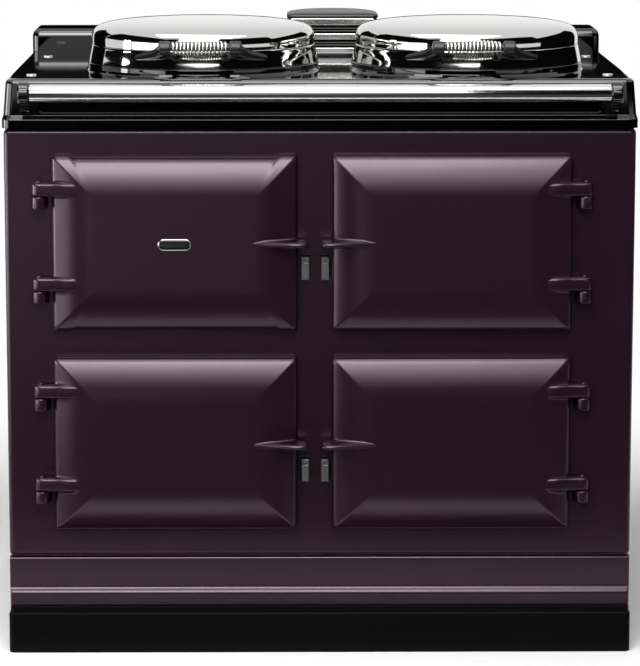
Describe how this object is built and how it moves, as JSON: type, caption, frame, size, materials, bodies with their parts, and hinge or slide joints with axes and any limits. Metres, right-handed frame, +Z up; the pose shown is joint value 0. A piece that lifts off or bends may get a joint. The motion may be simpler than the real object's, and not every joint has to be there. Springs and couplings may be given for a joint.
{
  "type": "range cooker",
  "caption": "Cast iron range cooker with hinged oven doors, hinged domed hotplate lids with coil grips, handrail, vent cowl and plinth.",
  "frame": {"origin": "on the floor under the middle of the whole object's box", "axes": "+X to the right seen from the front, +Y from the doors to the wall, +Z up"},
  "size_m": [0.987, 0.7505, 0.9945],
  "materials": {
    "aubergine_enamel": "glossy vitreous enamel",
    "black_enamel": "glossy vitreous enamel",
    "black_satin": "satin black",
    "polished_steel": "mirror polished",
    "satin_steel": "satin",
    "cast_iron": "raw, machined on top",
    "aluminium_liner": "pressed, dull",
    "mineral_wool": "fibrous"
  },
  "bodies": {
    "casing": {"plinth": "black_satin", "skirting": "aubergine_enamel", "front_plate": "aubergine_enamel", "side_panel_left": "black_satin", "side_panel_right": "black_satin", "back_panel": "satin_steel", "cable_gland": "black_satin", "top_plate": "black_enamel", "rear_upstand": "black_enamel", "vent_cowl": "black_enamel", "vent_cap": "black_satin", "handrail": "polished_steel", "rail_bracket_left": "black_enamel", "rail_bracket_right": "black_enamel", "insulation": "mineral_wool", "control_box": "satin_steel", "control_panel": "satin_steel", "catch_upper": "satin_steel", "catch_lower": "satin_steel", "roasting_oven": "cast_iron", "baking_oven": "cast_iron", "simmering_oven": "cast_iron", "hinge_upper_left_top": "aubergine_enamel", "hinge_upper_left_bottom": "aubergine_enamel", "hinge_upper_right_top": "aubergine_enamel", "hinge_upper_right_bottom": "aubergine_enamel", "hinge_lower_left_top": "aubergine_enamel", "hinge_lower_left_bottom": "aubergine_enamel", "hinge_lower_right_top": "aubergine_enamel", "hinge_lower_right_bottom": "aubergine_enamel", "lid_hinge_left": "black_enamel", "hotplate_left": "cast_iron", "hotplate_element_left": "satin_steel", "lid_hinge_right": "black_enamel", "hotplate_right": "cast_iron", "hotplate_element_right": "satin_steel"},
    "door_upper_left": {"door_upper_left": "aubergine_enamel", "door_liner_upper_left": "aluminium_liner"},
    "door_upper_right": {"door_upper_right": "aubergine_enamel", "door_liner_upper_right": "aluminium_liner"},
    "door_lower_left": {"door_lower_left": "aubergine_enamel", "door_liner_lower_left": "aluminium_liner"},
    "door_lower_right": {"door_lower_right": "aubergine_enamel", "door_liner_lower_right": "aluminium_liner"},
    "lid_left": {"lid_dome_left": "polished_steel", "lid_skirt_left": "polished_steel", "lid_liner_left": "aluminium_liner", "lid_grip_frame_left": "black_satin", "lid_coil_left": "polished_steel"},
    "lid_right": {"lid_dome_right": "polished_steel", "lid_skirt_right": "polished_steel", "lid_liner_right": "aluminium_liner", "lid_grip_frame_right": "black_satin", "lid_coil_right": "polished_steel"},
    "knob_left": {"control_knob_left": "black_satin"},
    "knob_middle": {"control_knob_middle": "black_satin"},
    "knob_right": {"control_knob_right": "black_satin"},
    "roasting_shelf": {"roasting_shelf": "satin_steel"},
    "baking_shelf": {"baking_shelf": "satin_steel"},
    "simmering_shelf": {"simmering_shelf": "satin_steel"}
  },
  "joints": [
    {"name": "door_upper_left_hinge", "type": "hinge", "parent": "casing", "child": "door_upper_left", "pos_m": [-0.4365, -0.33175, 0.6585], "axis": [0, 0, -1], "range_deg": [0, 120]},
    {"name": "door_upper_right_hinge", "type": "hinge", "parent": "casing", "child": "door_upper_right", "pos_m": [0.4125, -0.33175, 0.6585], "axis": [0, 0, 1], "range_deg": [0, 120]},
    {"name": "door_lower_left_hinge", "type": "hinge", "parent": "casing", "child": "door_lower_left", "pos_m": [-0.4365, -0.33175, 0.3405], "axis": [0, 0, -1], "range_deg": [0, 120]},
    {"name": "door_lower_right_hinge", "type": "hinge", "parent": "casing", "child": "door_lower_right", "pos_m": [0.4125, -0.33175, 0.3405], "axis": [0, 0, 1], "range_deg": [0, 120]},
    {"name": "lid_left_hinge", "type": "hinge", "parent": "casing", "child": "lid_left", "pos_m": [-0.1856, 0.09925, 0.938], "axis": [-1, 0, 0], "range_deg": [0, 80]},
    {"name": "lid_right_hinge", "type": "hinge", "parent": "casing", "child": "lid_right", "pos_m": [0.2376, 0.09925, 0.938], "axis": [-1, 0, 0], "range_deg": [0, 80]},
    {"name": "knob_left_turn", "type": "hinge", "parent": "casing", "child": "knob_left", "pos_m": [-0.31775, -0.24275, 0.6585], "axis": [0, -1, 0], "range_deg": [0, 270]},
    {"name": "knob_middle_turn", "type": "hinge", "parent": "casing", "child": "knob_middle", "pos_m": [-0.22575, -0.24275, 0.6585], "axis": [0, -1, 0], "range_deg": [0, 270]},
    {"name": "knob_right_turn", "type": "hinge", "parent": "casing", "child": "knob_right", "pos_m": [-0.13375, -0.24275, 0.6585], "axis": [0, -1, 0], "range_deg": [0, 270]},
    {"name": "roasting_shelf_slide", "type": "slide", "parent": "casing", "child": "roasting_shelf", "axis": [0, -1, 0], "range_m": [0, 0.04]},
    {"name": "baking_shelf_slide", "type": "slide", "parent": "casing", "child": "baking_shelf", "axis": [0, -1, 0], "range_m": [0, 0.04]},
    {"name": "simmering_shelf_slide", "type": "slide", "parent": "casing", "child": "simmering_shelf", "axis": [0, -1, 0], "range_m": [0, 0.04]}
  ]
}
